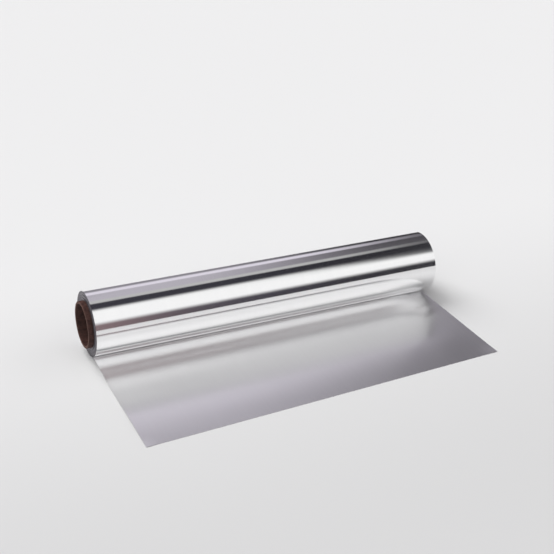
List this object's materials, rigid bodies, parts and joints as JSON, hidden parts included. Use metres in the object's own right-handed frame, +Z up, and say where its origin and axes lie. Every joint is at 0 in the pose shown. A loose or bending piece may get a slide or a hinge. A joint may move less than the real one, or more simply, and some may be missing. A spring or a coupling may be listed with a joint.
{
  "type": "aluminium foil roll",
  "caption": "Household roll of aluminium foil wound on a cardboard core, lying on its side with the loose end pulled out flat in front.",
  "frame": {"origin": "on the table, under the middle of the roll's axis", "axes": "+X along the roll's axis, +Z up, and the loose end of the foil lies towards -Y"},
  "size_m": [0.308, 0.1604, 0.0514],
  "materials": {
    "foil": "polished",
    "core_board": "matte"
  },
  "bodies": {
    "root": {"foil": "foil", "core": "core_board"}
  },
  "joints": []
}
